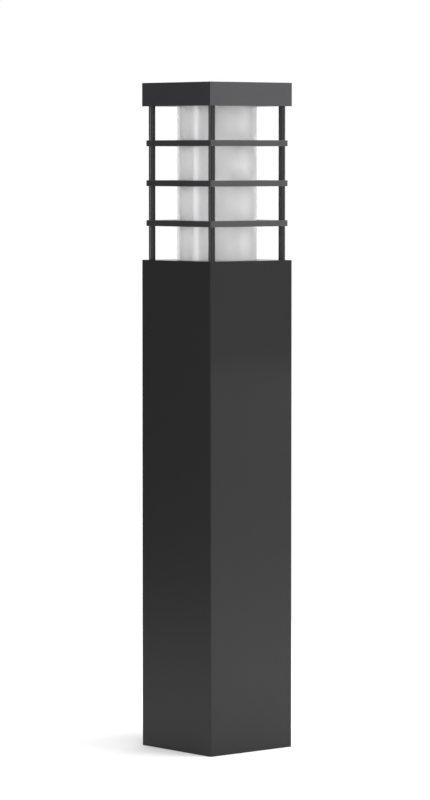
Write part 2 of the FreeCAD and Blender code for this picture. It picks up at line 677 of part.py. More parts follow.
def make_junction_box():
    floor = TRAY_BACK
    mouth = floor - BOX_DEPTH
    shell = box_prism(0, mouth, floor).cut(box_prism(BOX_WALL, mouth, floor - BOX_WALL))
    boss = placed(rod(LID_SCREW_BOSS, 0, BOX_DEPTH), ORIGIN, X, -90)
    boss_area = box_prism(0, mouth, floor)
    bosses = [placed(boss, place).common(boss_area) for place in lid_screw_places(mouth)]
    shell = joined(shell, *bosses)
    bite = placed(rod(BOX_SCREW_DIAMETER + 2 * THREAD_CLEARANCE, 0, BOX_DEPTH / 2), ORIGIN, X, -90)
    cuts = [placed(bite, place) for place in lid_screw_places(mouth)]
    through = placed(rod(BOX_SCREW_DIAMETER + 2 * SCREW_CLEARANCE, -BOX_WALL, BOX_WALL), ORIGIN, X, -90)
    cuts += [placed(through, place) for place in box_screw_places(floor)]
    flex_hole = FLEX_GLAND_THREAD + 2 * THREAD_CLEARANCE
    supply_hole = SUPPLY_GLAND_THREAD + 2 * THREAD_CLEARANCE
    cuts.append(rod(flex_hole, box_top - BOX_WALL, box_top, 0, gland_y))
    cuts.append(rod(supply_hole, box_bottom, box_bottom + BOX_WALL, 0, gland_y))
    keep("junction_box", shell.cut(cuts))

    seal_front = mouth - LID_SEAL_THICKNESS
    lid_front = seal_front - LID_THICKNESS
    through = placed(rod(BOX_SCREW_DIAMETER + 2 * SCREW_CLEARANCE, 0, BOX_DEPTH), ORIGIN, X, -90)
    holes = [placed(through, place) for place in lid_screw_places(lid_front)]
    keep("junction_lid", box_prism(0, lid_front, seal_front).cut(holes))
    seal = box_prism(0, seal_front, mouth).cut(box_prism(BOX_WALL, seal_front, mouth))
    pads = [placed(boss, place).common(box_prism(0, seal_front, mouth)) for place in lid_screw_places(seal_front)]
    keep("junction_seal", joined(seal, *pads).cut(holes))

    length = LID_THICKNESS + LID_SEAL_THICKNESS + BOX_DEPTH / 3
    screw = placed(pan_screw(BOX_SCREW_DIAMETER, length), ORIGIN, X, 90)
    keep("junction_lid_screws", *[placed(screw, place) for place in lid_screw_places(lid_front)])

    nut_height = 3.2
    length = BOX_WALL + TRAY_THICKNESS + nut_height + 1
    screw = placed(pan_screw(BOX_SCREW_DIAMETER, length), ORIGIN, X, 90)
    keep("junction_box_screws", *[placed(screw, p) for p in box_screw_places(floor - BOX_WALL)])
    thread = rod(BOX_SCREW_DIAMETER + 2 * THREAD_CLEARANCE, 0, nut_height)
    nut = placed(hexagon(BOX_SCREW_DIAMETER * 1.75, 0, nut_height).cut(thread), ORIGIN, X, -90)
    keep("junction_box_nuts", *[placed(nut, p) for p in box_screw_places(floor + TRAY_THICKNESS)])


def make_terminals():
    """Three-way screw terminal block on the floor of the junction box."""
    back = TRAY_BACK - BOX_WALL
    front = back - TERMINAL_DEPTH
    top = box_top - TERMINAL_BELOW_BOX_TOP
    bottom = top - TERMINAL_HEIGHT
    middle = (front + back) / 2
    half = 1.5 * TERMINAL_PITCH
    body = block(-half, half, front, back, bottom, top)
    across = [-TERMINAL_PITCH, 0, TERMINAL_PITCH]
    cuts = [rod(TERMINAL_BORE, bottom, top, x, middle) for x in across]
    cuts += [block(x - 0.75, x + 0.75, front, front + 4, bottom, top) for x in (-half / 3, half / 3)]
    hole = TERMINAL_SCREW_DIAMETER + 2 * SCREW_CLEARANCE
    well = placed(rod(hole, 0, TERMINAL_DEPTH / 2), ORIGIN, X, -90)
    heights = (bottom + TERMINAL_HEIGHT / 4, top - TERMINAL_HEIGHT / 4)
    places = [FreeCAD.Vector(x, front, z) for x in across for z in heights]
    cuts += [placed(well, place) for place in places]
    keep("terminal_block", body.cut(cuts))

    reach = middle - TERMINAL_BORE / 2 - front
    shank = rod(TERMINAL_SCREW_DIAMETER, -reach, -1)
    slot = block(-TERMINAL_SCREW_DIAMETER, TERMINAL_SCREW_DIAMETER, -0.3, 0.3, -1.8, 0)
    screw = placed(shank.cut(slot), ORIGIN, X, 90)
    keep("terminal_screws", *[placed(screw, place) for place in places])


def gland(thread, bore, wall):
    """Cable gland pointing up from z = 0, the face that it screws into, through a wall below.

    Returns its body, its domed nut and its rubber sleeve.
    """
    flats = thread + GLAND_FLATS_MORE
    sleeve_outer = bore + 2 * GLAND_WALL
    nut_low = GLAND_COLLAR
    nut_high = nut_low + GLAND_NUT_LENGTH
    passage = bore + 2 * THREAD_CLEARANCE
    body = joined(rod(thread, -wall, 0), hexagon(flats, 0, GLAND_COLLAR)).cut(rod(passage, -wall, GLAND_COLLAR))

    outer = flats / 2
    shoulder = nut_high - GLAND_NUT_LENGTH / 3
    dome = [(0, nut_low), (outer, nut_low), (outer, shoulder), (outer - 3, nut_high - 1), (outer - 4, nut_high)]
    room = sleeve_outer / 2 + PART_CLEARANCE
    sleeve_top = nut_low + GLAND_SEAL_LENGTH
    nut = turned(dome + [(0, nut_high)])
    nut = nut.cut([rod(2 * room, nut_low, sleeve_top), rod(passage, nut_low, nut_high)])
    sleeve = pipe(sleeve_outer, passage, nut_low, sleeve_top)
    return body, nut, sleeve


def make_wiring():
    flex_parts = [gland(FLEX_GLAND_THREAD, FLEX_DIAMETER, wall) for wall in (BOX_WALL, PLATE_THICKNESS)]
    box_gland = [placed(piece, FreeCAD.Vector(0, gland_y, box_top)) for piece in flex_parts[0]]
    head_gland = [placed(piece, FreeCAD.Vector(0, 0, plate_bottom), X, 180) for piece in flex_parts[1]]
    for name, low, high in zip(("bodies", "nuts", "seals"), box_gland, head_gland):
        keep("flex_gland_" + name, low, high)
    supply = gland(SUPPLY_GLAND_THREAD, SUPPLY_BORE, BOX_WALL)
    for name, piece in zip(("body", "nut", "seal"), supply):
        keep("supply_gland_" + name, placed(piece, FreeCAD.Vector(0, gland_y, box_bottom), X, 180))

    gland_length = GLAND_COLLAR + GLAND_NUT_LENGTH
    jacket_end = box_top - BOX_WALL - FLEX_TAIL
    straight = box_top + gland_length - jacket_end
    rise = plate_bottom - gland_length - (box_top + gland_length)
    flex_end = holder_bottom + FLEX_TAIL
    end_straight = flex_end - (plate_bottom - gland_length)
    start = FreeCAD.Vector(0, gland_y, jacket_end)
    offset = FreeCAD.Vector(0, -gland_y, 0)
    keep_cable("lamp_flex", FLEX_DIAMETER, start, straight, rise, offset, end_straight)

    terminal_top = box_top - TERMINAL_BELOW_BOX_TOP
    terminal_y = TRAY_BACK - BOX_WALL - TERMINAL_DEPTH / 2
    bite = TERMINAL_HEIGHT / 3
    lead = 2.0
    for name, side in (("live_core", -1), ("neutral_core", 0), ("earth_core", 1)):
        start = FreeCAD.Vector(side * TERMINAL_PITCH, terminal_y, terminal_top - bite)
        end = FreeCAD.Vector(side * CORE_SPREAD, gland_y - abs(side) * 0.9 + (1 - abs(side)) * 1.6, 0)
        offset = FreeCAD.Vector(end.x - start.x, end.y - start.y, 0)
        rise = jacket_end - terminal_top - 2 * lead
        keep_cable(name, CORE_DIAMETER, start, bite + lead, rise, offset, lead)


def keep_cable(name, diameter, *route):
    """Store a cable, and say how its volume compares with its section times its length."""
    solid, length, radius = s_bend(diameter, *route)
    keep(name, solid)
    share = solid.Volume / (math.pi * diameter * diameter / 4 * length)
    print("%s: %.1f mm long, arcs of %.1f mm, volume ratio %.4f" % (name, length, radius, share))


def main():
    make_post()
    make_foot()
    make_plates()
    make_diffuser()
    make_stack()
    make_cap()
    make_reflector()
    make_lampholder()
    make_lamp()
    make_tray()
    make_junction_box()
    make_terminals()
    make_wiring()
    os.makedirs("parts", exist_ok=True)
    for name, shape in nodes.items():
        if not shape.isValid():
            raise ValueError("%s is not a valid shape" % name)
        shape.exportStep("parts/%s.step" % name)
    print("%d nodes, %.1f mm tall" % (len(nodes), cap_top))


main()
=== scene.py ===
# %% [markdown]
# # A square bollard light
# This notebook builds the looks of a one metre garden bollard: a dark powder-coated post, a lamp
# head of three open rings round an opal tube, and a flat lift-off cap.
# The sizes come from a finished CAD model, which stays as it is. Each piece made here takes the
# place of one CAD node, at the same spot, with softened edges and a proper finish.

# %% Load the CAD frame
import json
import math
import bmesh
import bpy
from mathutils import Matrix, Vector


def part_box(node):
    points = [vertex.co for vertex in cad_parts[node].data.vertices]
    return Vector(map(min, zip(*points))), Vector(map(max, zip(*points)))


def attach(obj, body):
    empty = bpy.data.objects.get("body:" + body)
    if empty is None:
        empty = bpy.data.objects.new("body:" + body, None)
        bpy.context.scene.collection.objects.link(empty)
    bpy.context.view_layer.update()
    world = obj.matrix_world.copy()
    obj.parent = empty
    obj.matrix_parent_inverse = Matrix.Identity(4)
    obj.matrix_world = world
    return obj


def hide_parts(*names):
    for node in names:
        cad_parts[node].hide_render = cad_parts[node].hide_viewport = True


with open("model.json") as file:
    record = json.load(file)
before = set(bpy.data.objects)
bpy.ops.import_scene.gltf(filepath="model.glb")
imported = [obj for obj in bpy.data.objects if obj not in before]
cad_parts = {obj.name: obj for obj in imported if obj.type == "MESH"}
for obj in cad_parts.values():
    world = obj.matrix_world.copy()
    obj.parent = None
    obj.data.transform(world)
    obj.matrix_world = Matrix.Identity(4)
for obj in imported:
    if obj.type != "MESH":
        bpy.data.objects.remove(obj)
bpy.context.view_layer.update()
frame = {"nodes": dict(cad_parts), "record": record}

scene = bpy.context.scene

# %% [markdown]
# ## Sizes to work with
# Every place is read from the CAD nodes' boxes, so a change of the CAD model carries over.
# Only the small sizes that a box can't tell, such as a wall or an edge radius, are named here.

# %% Read the places of the main pieces
MM = 0.001
WALL = 3 * MM
CORNER_RADIUS = 1.5 * MM
post_low, post_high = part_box("post_tube")
cap_low, cap_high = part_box("cap_shell")
tube_low, tube_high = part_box("diffuser")
post_half = post_high.x
spacer_low, spacer_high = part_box("spacer_tubes_1")
SPACER_RADIUS = 5 * MM
rod_at = spacer_high.x - SPACER_RADIUS
CORNERS = [(x, y) for x in (-1, 1) for y in (-1, 1)]
print("post", [round(v, 4) for v in post_high - post_low], "rods at", round(rod_at, 4))

# %% [markdown]
# ## The camera
# A long lens from six metres away, level with the lamp head, keeps the upright edges nearly
# parallel. The angle is turned until the left face looks narrower than the right one.
# The position is worked out from an azimuth and an elevation, and the rotation is built from
# the camera's own three axes, which avoids any tracking constraint. The lens is given as a
# multiple of the sensor's height, and the aim as a height and a small step to the side.

# %% Place the camera
AZIMUTH, ELEVATION = 49.48, 3.52
DISTANCE = 5.949
LENS_PER_HEIGHT = 4.94125
SENSOR = 36.0
AIM_SIDEWAYS, AIM_HEIGHT = -0.0028, 0.5242


def direction(azimuth, elevation=0.0):
    """A unit vector; azimuth 0 is the front, along -Y, and 90 the right, along +X, in degrees."""
    a, e = math.radians(azimuth), math.radians(elevation)
    return Vector((math.sin(a) * math.cos(e), -math.cos(a) * math.cos(e), math.sin(e)))


backward = direction(AZIMUTH, ELEVATION)
sideways = direction(AZIMUTH + 90)
upward = backward.cross(sideways)
target = sideways * AIM_SIDEWAYS + Vector((0, 0, AIM_HEIGHT))

bpy.ops.object.camera_add(location=target + backward * DISTANCE)
camera = bpy.context.object
camera.name = "camera"
camera.rotation_euler = Matrix((sideways, upward, backward)).transposed().to_euler()
camera.data.sensor_fit = "VERTICAL"
camera.data.sensor_height = SENSOR
camera.data.lens = SENSOR * LENS_PER_HEIGHT
scene.camera = camera
print("lens", round(camera.data.lens, 1), "mm, at height", round(camera.location.z, 2))

# %% [markdown]
# ## Selecting in edit mode
# The steps below are the ones a person would click: add a primitive, pick faces or edges, inset,
# extrude, bevel, bridge. Nothing is clicked here, so a small helper picks by a test on each face
# or edge. Everything is deselected first, because an operator acts on all that is selected.

# %% Helpers for adding and picking
NEARLY_ONE = 0.99


def deselect():
    """Leave edit mode and select nothing."""
    if bpy.context.object and bpy.context.object.mode != "OBJECT":
        bpy.ops.object.mode_set(mode="OBJECT")
    bpy.ops.object.select_all(action="DESELECT")


def select_only(piece):
    """Make one object the active one and the only one selected."""
    deselect()
    bpy.context.view_layer.objects.active = piece
    piece.select_set(True)


def apply_place(piece):
    """Put the object's place, turn and size into its mesh."""
    select_only(piece)
    bpy.ops.object.transform_apply(location=True, rotation=True, scale=True)
    return piece


def add_block(name, low, high):
    """A cube primitive, added at its size and place."""
    deselect()
    low, high = Vector(low), Vector(high)
    bpy.ops.mesh.primitive_cube_add(size=1, location=(low + high) / 2, scale=high - low)
    bpy.context.object.name = name
    return apply_place(bpy.context.object)


def add_round(name, radius, low, high, x=0.0, y=0.0, sides=48):
    """An upright cylinder primitive, added at its size and place."""
    deselect()
    middle, depth = (x, y, (low + high) / 2), high - low
    bpy.ops.mesh.primitive_cylinder_add(
        vertices=sides, radius=radius, depth=depth, location=middle
    )
    bpy.context.object.name = name
    return apply_place(bpy.context.object)


def pick(piece, kind, test):
    """Go into edit mode and select the faces or edges that pass the test."""
    select_only(piece)
    bpy.ops.object.mode_set(mode="EDIT")
    bpy.ops.mesh.select_mode(type=kind)
    bpy.ops.mesh.select_all(action="DESELECT")
    mesh = bmesh.from_edit_mesh(piece.data)
    for item in mesh.faces if kind == "FACE" else mesh.edges:
        item.select_set(test(item))
    bmesh.update_edit_mesh(piece.data)


def is_level(face):
    """True for a top or bottom face."""
    return abs(face.normal.z) > NEARLY_ONE


def is_upright(edge):
    """True for an edge that runs up."""
    a, b = edge.verts
    return abs((a.co - b.co).normalized().z) > NEARLY_ONE


# %% [markdown]
# ## Finishing a piece
# A hard corner never shows a highlight, so almost every piece gets a Bevel modifier that only
# rounds edges sharper than an angle. The modifier is applied at once, so the mesh is final and
# the finish can't change with it. Smooth shading with weighted normals then keeps the flats flat:
# without the weights, the small bevel faces would bend the light on the large ones.

# %% Helpers for modifiers and finishing
DOUBLE = 1e-6
DRILLED_SIDES = 32


def use_modifier(piece, kind, **settings):
    """Add a modifier with these settings and apply it."""
    select_only(piece)
    modifier = piece.modifiers.new(kind.lower(), kind)
    for key, value in settings.items():
        setattr(modifier, key, value)
    bpy.ops.object.modifier_apply(modifier=modifier.name)


def soften(piece, width, segments=2, angle=40):
    """Round every edge that is sharper than the angle."""
    limit = {"limit_method": "ANGLE", "angle_limit": math.radians(angle)}
    use_modifier(piece, "BEVEL", width=width, segments=segments, **limit)


def on_all_points(operator, **settings):
    """In edit mode, run an operator on everything."""
    bpy.ops.mesh.select_all(action="SELECT")
    return operator(**settings)


def smooth(piece, angle=35):
    """Merge double points and shade smooth, with crisp edges and flat flats left as they are."""
    select_only(piece)
    bpy.ops.object.mode_set(mode="EDIT")
    bpy.ops.mesh.select_mode(type="VERT")
    on_all_points(bpy.ops.mesh.remove_doubles, threshold=DOUBLE)
    bpy.ops.object.mode_set(mode="OBJECT")
    bpy.ops.object.shade_smooth_by_angle(angle=math.radians(angle))
    use_modifier(piece, "WEIGHTED_NORMAL", keep_sharp=True)


def cut_with(piece, cutter, operation="DIFFERENCE"):
    """Cut one piece with another, or weld them, and throw the tool away."""
    use_modifier(piece, "BOOLEAN", object=cutter, operation=operation, solver="EXACT")
    bpy.data.objects.remove(cutter)


def join(pieces, name):
    """Make several objects one."""
    deselect()
    for piece in pieces:
        piece.select_set(True)
    bpy.context.view_layer.objects.active = pieces[0]
    bpy.ops.object.join()
    pieces[0].name = name
    return pieces[0]


def drill(piece, radius, low, high):
    """Cut an upright round hole at each of the four rods."""
    for x, y in CORNERS:
        bit = add_round("hole", radius, low, high, x * rod_at, y * rod_at, DRILLED_SIDES)
        cut_with(piece, bit)


def copy_at(piece, name, place, turn=None):
    """A copy with its own mesh, turned about the origin and then moved."""
    twin = piece.copy()
    twin.data = piece.data.copy()
    twin.name = name
    scene.collection.objects.link(twin)
    twin.matrix_world = Matrix.Translation(place) @ (turn or Matrix.Identity(4))
    return apply_place(twin)


def place_piece(piece, finish, body, *nodes):
    """Give a finished piece its finish and its body, and hide the CAD nodes that it stands for."""
    piece.data.materials.clear()
    piece.data.materials.append(finish)
    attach(piece, body)
    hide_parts(*nodes)
    print(piece.name, "has", len(piece.data.polygons), "faces, for", ", ".join(nodes))


frame_slots = {row["node"]: row["material_slot"] for row in frame["record"]["subparts"]}

# %% [markdown]
# ## Finishes
# Each finish is a small node tree on a Principled shader. All patterns read Object coordinates,
# which are in metres here, so a noise scale of 900 means about 900 grains in a metre, and the
# depth of a bump is in metres too.
# The first helper starts a material and sets what is the same all over; the others add grain.

# %% Helpers for finishes
def new_finish(name, colour, roughness, metallic=0.0, **more):
    """A material whose even values are set straight on the shader's sockets."""
    material = bpy.data.materials.new(name)
    material.use_nodes = True
    shader = material.node_tree.nodes["Principled BSDF"]
    shader.inputs["Base Color"].default_value = (*colour, 1)
    shader.inputs["Roughness"].default_value = roughness
    shader.inputs["Metallic"].default_value = metallic
    for socket, value in more.items():
        shader.inputs[socket.replace("_", " ")].default_value = value
    return material


def add_node(material, kind, inputs=None, **settings):
    """One node with its settings; an input is a value or another node's output."""
    node = material.node_tree.nodes.new(kind)
    for key, value in settings.items():
        setattr(node, key, value)
    for key, value in (inputs or {}).items():
        if isinstance(value, bpy.types.NodeSocket):
            material.node_tree.links.new(value, node.inputs[key])
        else:
            node.inputs[key].default_value = value
    return node


def object_place(material, stretch=(1, 1, 1)):
    """The point on the piece, in metres, stretched along some axes."""
    place = add_node(material, "ShaderNodeTexCoord").outputs["Object"]
    inputs = {"Vector": place, "Scale": stretch}
    return add_node(material, "ShaderNodeMapping", inputs).outputs["Vector"]


def noise(material, scale, detail=2.0, stretch=(1, 1, 1)):
    """Soft random grain, from 0 to 1."""
    inputs = {"Vector": object_place(material, stretch), "Scale": scale, "Detail": detail}
    return add_node(material, "ShaderNodeTexNoise", inputs).outputs["Fac"]


def feed(material, socket, value):
    """Drive one of the shader's sockets."""
    shader = material.node_tree.nodes["Principled BSDF"]
    material.node_tree.links.new(value, shader.inputs[socket])


def spread(material, value, low, high):
    """Stretch a 0 to 1 value to run from low to high."""
    inputs = {"Value": value, "To Min": low, "To Max": high}
    return add_node(material, "ShaderNodeMapRange", inputs).outputs["Result"]


def blend_colours(material, share, first, second):
    """Mix two colours by a 0 to 1 share; each colour is a tuple or a socket."""
    node = add_node(material, "ShaderNodeMix", data_type="RGBA")
    for index, value in ((0, share), (6, first), (7, second)):
        if isinstance(value, bpy.types.NodeSocket):
            material.node_tree.links.new(value, node.inputs[index])
        else:
            node.inputs[index].default_value = (*value, 1) if index else value
    return node.outputs[2]


def bumped(material, height, distance):
    """Let a height pattern tilt the surface a little."""
    inputs = {"Height": height, "Distance": distance, "Strength": 1.0}
    feed(material, "Normal", add_node(material, "ShaderNodeBump", inputs).outputs["Normal"])


# %% [markdown]
# ## Charcoal powder coat
# Powder coat melts into a skin with a fine orange-peel ripple about a millimetre across. Its
# colour is nearly even, with a faint speckle of lighter pigment.
# The ripple is one noise as bump, and a second, coarser one moves the roughness, so the sheen
# breaks up a little instead of being a plain mirror of the lights.
# The post, the head and the spacers take copies of one coat that differ only to stand in for light
# and shade:
# the head's copy is glossier and a little bluer, a painted sheen on its lit faces, and the
# spacers' copy is darker, painted shade on the rods.

# %% Make the powder coats
RIPPLE_DEPTH = 0.06 * MM
SHEEN_SPREAD = 0.03
LIGHTER_PIGMENT = 1.35
PATCH_SHARE = 0.35
SPECKLES, PATCHINESS, SHEEN_CLOUDS, RIPPLES = 1400, 9, 60, 620


def powder_coat(name, colour, roughness, specular):
    """Dark satin coat with ripple, speckle and a slightly uneven sheen."""
    coat = new_finish(name, colour, roughness, Specular_IOR_Level=specular)
    lighter = tuple(c * LIGHTER_PIGMENT for c in colour)
    fine = blend_colours(coat, noise(coat, SPECKLES, 1.0), colour, lighter)
    patches = spread(coat, noise(coat, PATCHINESS, 3.0), 0.0, PATCH_SHARE)
    feed(coat, "Base Color", blend_colours(coat, patches, fine, lighter))
    glossiest, dullest = roughness - SHEEN_SPREAD, roughness + SHEEN_SPREAD
    feed(coat, "Roughness", spread(coat, noise(coat, SHEEN_CLOUDS, 4.0), glossiest, dullest))
    bumped(coat, noise(coat, RIPPLES, 2.0), RIPPLE_DEPTH)
    return coat


post_coat = powder_coat("post_powder_coat", (0.0098, 0.0098, 0.0100), 0.34, 0.23)
# painted sheen: a glossier, slightly bluer copy of the post's coat, so the head's faces come out
# brighter
head_sheen_coat = powder_coat("head_powder_coat_painted_sheen", (0.0102, 0.0102, 0.0126), 0.30, 0.89)
# painted shade: a darker copy of the coat, so the rods between the rings come out darker
spacer_painted_shade_coat = powder_coat("spacer_painted_shade_coat", (0.0075, 0.0075, 0.008), 0.30, 0.42)
print("coats:", post_coat.name, head_sheen_coat.name, spacer_painted_shade_coat.name)

# %% [markdown]
# ## Opal acrylic
# An opal tube scatters light inside its wall, so it looks evenly milky, and its outside is
# polished, so tall lamps show as upright streaks. Subsurface scattering that reaches several
# times the wall's thickness gives the milky look and softens the shadows of the rings, and a low
# roughness gives the polish. The cast wall has a very slight waviness.

# %% Make the opal finishes
OPAL_REACH, GLOBE_REACH = 14 * MM, 3 * MM
OPAL_ROUGHNESS = (0.15, 0.21)
ALONG_TUBE = (1, 1, 0.3)
scatter = {"Subsurface_Weight": 1.0, "Subsurface_Scale": OPAL_REACH}
opal = new_finish("opal_tube", (0.93, 0.93, 0.93), 0.18, IOR=1.49, **scatter)
opal.node_tree.nodes["Principled BSDF"].inputs["Subsurface Radius"].default_value = (1, 1, 1)
feed(opal, "Roughness", spread(opal, noise(opal, 25, 3.0), *OPAL_ROUGHNESS))
bumped(opal, noise(opal, 14, 1.0, ALONG_TUBE), 0.06 * MM)
scatter = {"Subsurface_Weight": 0.2, "Subsurface_Scale": GLOBE_REACH}
globe_opal = new_finish("lamp_globe_opal", (0.78, 0.78, 0.76), 0.45, **scatter)
bumped(globe_opal, noise(globe_opal, 900, 2.0), 0.02 * MM)
print("opals:", opal.name, globe_opal.name)

# %% [markdown]
# ## Metals
# Bare metal parts differ mostly in their grain: turned stainless has fine rings or streaks,
# zinc plate has cloudy spangle, cast aluminium a sandy skin.
# One helper mixes two tones by a noise that can be stretched along an axis for streaks.

# %% Make the metals
SMOOTHER, ROUGHER = 0.08, 0.10
UP_AND_DOWN, ACROSS = (1, 1, 0.15), (0.2, 0.2, 1)


def metal(name, dark, light, roughness, grain, stretch=(1, 1, 1), depth=0.03 * MM):
    """Bare metal with a two-tone grain that also moves the roughness and the surface."""
    material = new_finish(name, light, roughness, 1.0)
    pattern = noise(material, grain, 3.0, stretch)
    feed(material, "Base Color", blend_colours(material, pattern, dark, light))
    ends = roughness - SMOOTHER, roughness + ROUGHER
    feed(material, "Roughness", spread(material, pattern, *ends))
    bumped(material, pattern, depth)
    return material


steel_tones = (0.46, 0.45, 0.44), (0.62, 0.61, 0.60)
stainless = metal("stainless_steel", *steel_tones, 0.26, 700, UP_AND_DOWN)
zinc = metal("zinc_plate", (0.42, 0.44, 0.46), (0.60, 0.62, 0.65), 0.38, 130)
cast = metal("cast_aluminium", (0.44, 0.44, 0.45), (0.58, 0.58, 0.59), 0.55, 900, depth=0.12 * MM)
brass = metal("brass", (0.62, 0.42, 0.16), (0.80, 0.60, 0.27), 0.28, 500)
nickel = metal("nickel_plate", (0.58, 0.56, 0.52), (0.74, 0.72, 0.68), 0.22, 500, ACROSS)
print("metals:", ", ".join(m.name for m in (stainless, zinc, cast, brass, nickel)))

# %% [markdown]
# ## Rubber, plastics, ceramic and wiring
# The rest are non-metals. Rubber is dull and slightly dusty, moulded nylon has a fine spark-eroded
# grain, glazed porcelain is smooth with tiny pits, and the earth core is striped green and yellow:
# the half that lies beyond the core's middle gets the other colour.

# %% Make the non-metals
MOTTLE_SHARE = 0.25
PLASTIC_SPREAD = 0.05
CORE_MIDDLE = 19 * MM


def moulded(name, colour, roughness, grain=1200, depth=0.04 * MM):
    """Plastic, rubber or paint: one colour with a faint mottle and a fine grain."""
    material = new_finish(name, colour, roughness)
    lighter = tuple(min(1.0, c * 1.25 + 0.004) for c in colour)
    mottle = spread(material, noise(material, grain / 6, 3.0), 0.0, MOTTLE_SHARE)
    feed(material, "Base Color", blend_colours(material, mottle, colour, lighter))
    ends = roughness - PLASTIC_SPREAD, roughness + PLASTIC_SPREAD
    feed(material, "Roughness", spread(material, noise(material, grain / 3), *ends))
    bumped(material, noise(material, grain), depth)
    return material


def striped_core(name, ground, stripe):
    """Two-coloured insulation: a stripe along one side of the core."""
    material = new_finish(name, ground, 0.35)
    axes = add_node(material, "ShaderNodeSeparateXYZ", {"Vector": object_place(material)})
    inputs = {0: axes.outputs["Y"], 1: CORE_MIDDLE}
    side = add_node(material, "ShaderNodeMath", inputs, operation="GREATER_THAN")
    feed(material, "Base Color", blend_colours(material, side.outputs[0], ground, stripe))
    return material


rubber = moulded("black_rubber", (0.020, 0.020, 0.021), 0.75, 900)
nylon = moulded("black_nylon", (0.022, 0.022, 0.024), 0.48)
white_paint = moulded("white_reflector_paint", (0.80, 0.80, 0.78), 0.55)
white_plastic = moulded("white_plastic", (0.76, 0.76, 0.74), 0.40)
porcelain = moulded("glazed_porcelain", (0.78, 0.77, 0.72), 0.14, 260, 0.03 * MM)
black_glass = moulded("black_glass", (0.012, 0.012, 0.013), 0.12, 300, 0.01 * MM)
board_green = moulded("circuit_board", (0.02, 0.14, 0.06), 0.35)
sheath = moulded("cable_sheath", (0.018, 0.018, 0.019), 0.55, 1500)
brown_core = moulded("brown_core", (0.13, 0.045, 0.018), 0.35)
blue_core = moulded("blue_core", (0.02, 0.10, 0.42), 0.35)
earth_core = striped_core("earth_core", (0.04, 0.34, 0.07), (0.85, 0.66, 0.03))
finish_of_slot = {
    "charcoal_paint": head_sheen_coat, "white_paint": white_paint, "cast_aluminium": cast,
    "galvanised_steel": zinc, "stainless_steel": stainless, "opal_acrylic": opal,
    "black_rubber": rubber, "black_nylon": nylon, "porcelain": porcelain, "brass": brass,
    "nickelled_brass": nickel, "white_plastic": white_plastic, "black_glass": black_glass,
    "circuit_board": board_green, "cable_sheath": sheath, "brown_core": brown_core,
    "blue_core": blue_core, "earth_core": earth_core,
}
print(len(finish_of_slot), "finishes")

# %% [markdown]
# ## Finishes for the CAD nodes
# Pieces that keep their CAD shape, such as those shut up in the post, only need the right
# finish. Each node's slot in the record picks it. Nodes that are remade below are hidden later.

# %% Paint the CAD nodes
for name, node in frame["nodes"].items():
    node.data.materials.clear()
    node.data.materials.append(finish_of_slot[frame_slots[name]])
print("painted", len(frame["nodes"]), "nodes")

# %% [markdown]
# ## The post
# The real post is an extruded square tube: an even wall, slightly rounded outer arrises, and a
# round screw port in each inner corner for the tie rods.
# A cube is inset at both ends and the two inner faces are bridged, which makes the tube in one
# go. Only the outer upright edges are bevelled much, since an extrusion is sharp where it is sawn.
# Each port is a cylinder and a web of metal to the corner, both welded on, and then bored.

# %% Shape the post tube
PORT_RADIUS = 6.5 * MM
PORT_GAP = 0.5 * MM
ROD_RADIUS = 3 * MM
BORE_RADIUS = 1.02 * ROD_RADIUS
POST_EDGE = 0.25 * MM
ON_THE_SPOT = 0.01 * MM


def at_outside(edge, half):
    """True for an upright edge on the outer corner of a square piece."""
    place = edge.verts[0].co
    off = max(abs(abs(place.x) - half), abs(abs(place.y) - half))
    return is_upright(edge) and off < ON_THE_SPOT


def hollow_square(name, low, high, wall, corner):
    """A square tube: inset both ends, bridge them, and round the outer arrises."""
    piece = add_block(name, low, high)
    pick(piece, "FACE", is_level)
    bpy.ops.mesh.inset(thickness=wall)
    bpy.ops.mesh.bridge_edge_loops()
    pick(piece, "EDGE", lambda edge: at_outside(edge, high[0]))
    bpy.ops.mesh.bevel(offset=corner, segments=5, affect="EDGES")
    deselect()
    return piece


post = hollow_square("post", post_low, post_high, WALL, CORNER_RADIUS)
port_low, port_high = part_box("ground_flange")[1].z + PORT_GAP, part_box("head_plate")[0].z
inner, outer = rod_at, post_half - WALL / 2
for x, y in CORNERS:
    at = x * rod_at, y * rod_at
    cut_with(post, add_round("port", PORT_RADIUS, port_low, port_high, *at), "UNION")
    low = (min(x * inner, x * outer), min(y * inner, y * outer), port_low)
    high = (max(x * inner, x * outer), max(y * inner, y * outer), port_high)
    cut_with(post, add_block("web", low, high), "UNION")
    cut_with(post, add_round("bore", BORE_RADIUS, port_low - WALL, port_high + WALL, *at))
print("post has", len(post.data.polygons), "faces after the ports")

# %% [markdown]
# ## Flat socket screws
# The post is fixed to its ground flange by four flat screws, and the cap by four more. A flat
# head is a cone that ends flush with the surface, with a six-sided socket for the key.
# One screw is made at the origin, pointing down: the shank's top is extruded and widened into
# the cone, and the socket is cut with a six-sided prism. Copies are turned into place.

# %% Make one flat screw, and the tool that sinks its hole
HEAD_RADIUS = 4.6 * MM
SHANK_RADIUS = 2.5 * MM
HEAD_DEPTH = HEAD_RADIUS - SHANK_RADIUS
SOCKET_RADIUS = 1.73 * MM
POST_SCREW_LENGTH = 14 * MM
SCREW_EDGE = 0.12 * MM
HOLE_GAP = 0.3 * MM


def flat_cone(name, wide, narrow, depth, length):
    """A screw's outline at the origin: a flat cone at the top and a shank below."""
    piece = add_round(name, narrow, -length, -depth)
    pick(piece, "FACE", lambda face: face.normal.z > NEARLY_ONE)
    bpy.ops.mesh.extrude_region_move(TRANSFORM_OT_translate={"value": (0, 0, depth)})
    bpy.ops.transform.resize(value=(wide / narrow, wide / narrow, 1))
    deselect()
    return piece


def flat_screw(length):
    """A countersunk screw with a hexagon socket, its head at z = 0."""
    screw = flat_cone("flat_screw", HEAD_RADIUS, SHANK_RADIUS, HEAD_DEPTH, length)
    cut_with(screw, add_round("socket", SOCKET_RADIUS, -HEAD_DEPTH, MM, sides=6))
    soften(screw, SCREW_EDGE, angle=25)
    return screw


